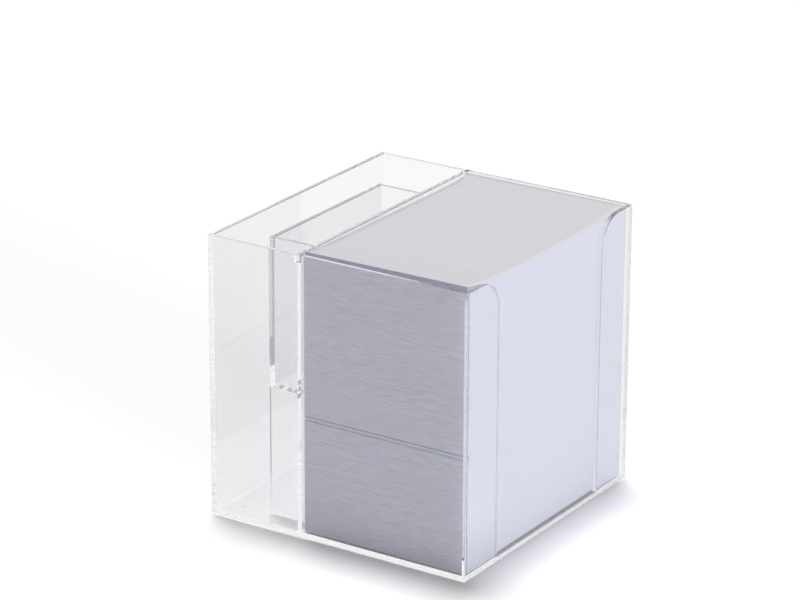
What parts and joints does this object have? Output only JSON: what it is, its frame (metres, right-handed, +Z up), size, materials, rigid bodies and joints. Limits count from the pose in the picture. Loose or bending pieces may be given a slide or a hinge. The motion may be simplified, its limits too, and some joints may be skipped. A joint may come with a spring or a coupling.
{
  "type": "memo pad holder",
  "caption": "Open clear box with a pen bay, a raised marker rack and a bay of loose memo sheets, cut out at the side for a thumb.",
  "frame": {"origin": "middle of the underside of the base plate, on the table", "axes": "+X along the front from the pen bay to the memo bay, +Y from the front to the back, +Z up"},
  "size_m": [0.092, 0.095, 0.0921],
  "materials": {
    "clear_sheet": "polished clear acrylic sheet",
    "paper": "uncoated white paper, cut edges"
  },
  "bodies": {
    "holder": {"base_plate": "clear_sheet", "front_panel": "clear_sheet", "back_panel": "clear_sheet", "left_panel": "clear_sheet", "partition_panel": "clear_sheet", "front_flap": "clear_sheet", "rear_flap": "clear_sheet", "front_fin": "clear_sheet", "rear_fin": "clear_sheet", "marker_shelf": "clear_sheet", "marker_side": "clear_sheet"},
    "lower_sheets": {"memo_lower": "paper"},
    "middle_sheets": {"memo_middle": "paper"},
    "upper_sheets": {"memo_upper": "paper"},
    "top_sheet": {"memo_top_sheet": "paper"}
  },
  "joints": [
    {"name": "lower_sheets_lift", "type": "slide", "parent": "holder", "child": "lower_sheets", "axis": [0, 0, 1], "range_m": [0, 0.1]},
    {"name": "middle_sheets_lift", "type": "slide", "parent": "lower_sheets", "child": "middle_sheets", "axis": [0, 0, 1], "range_m": [0, 0.07]},
    {"name": "upper_sheets_lift", "type": "slide", "parent": "middle_sheets", "child": "upper_sheets", "axis": [0, 0, 1], "range_m": [0, 0.065]},
    {"name": "top_sheet_lift", "type": "slide", "parent": "upper_sheets", "child": "top_sheet", "axis": [0, 0, 1], "range_m": [0, 0.03]}
  ]
}
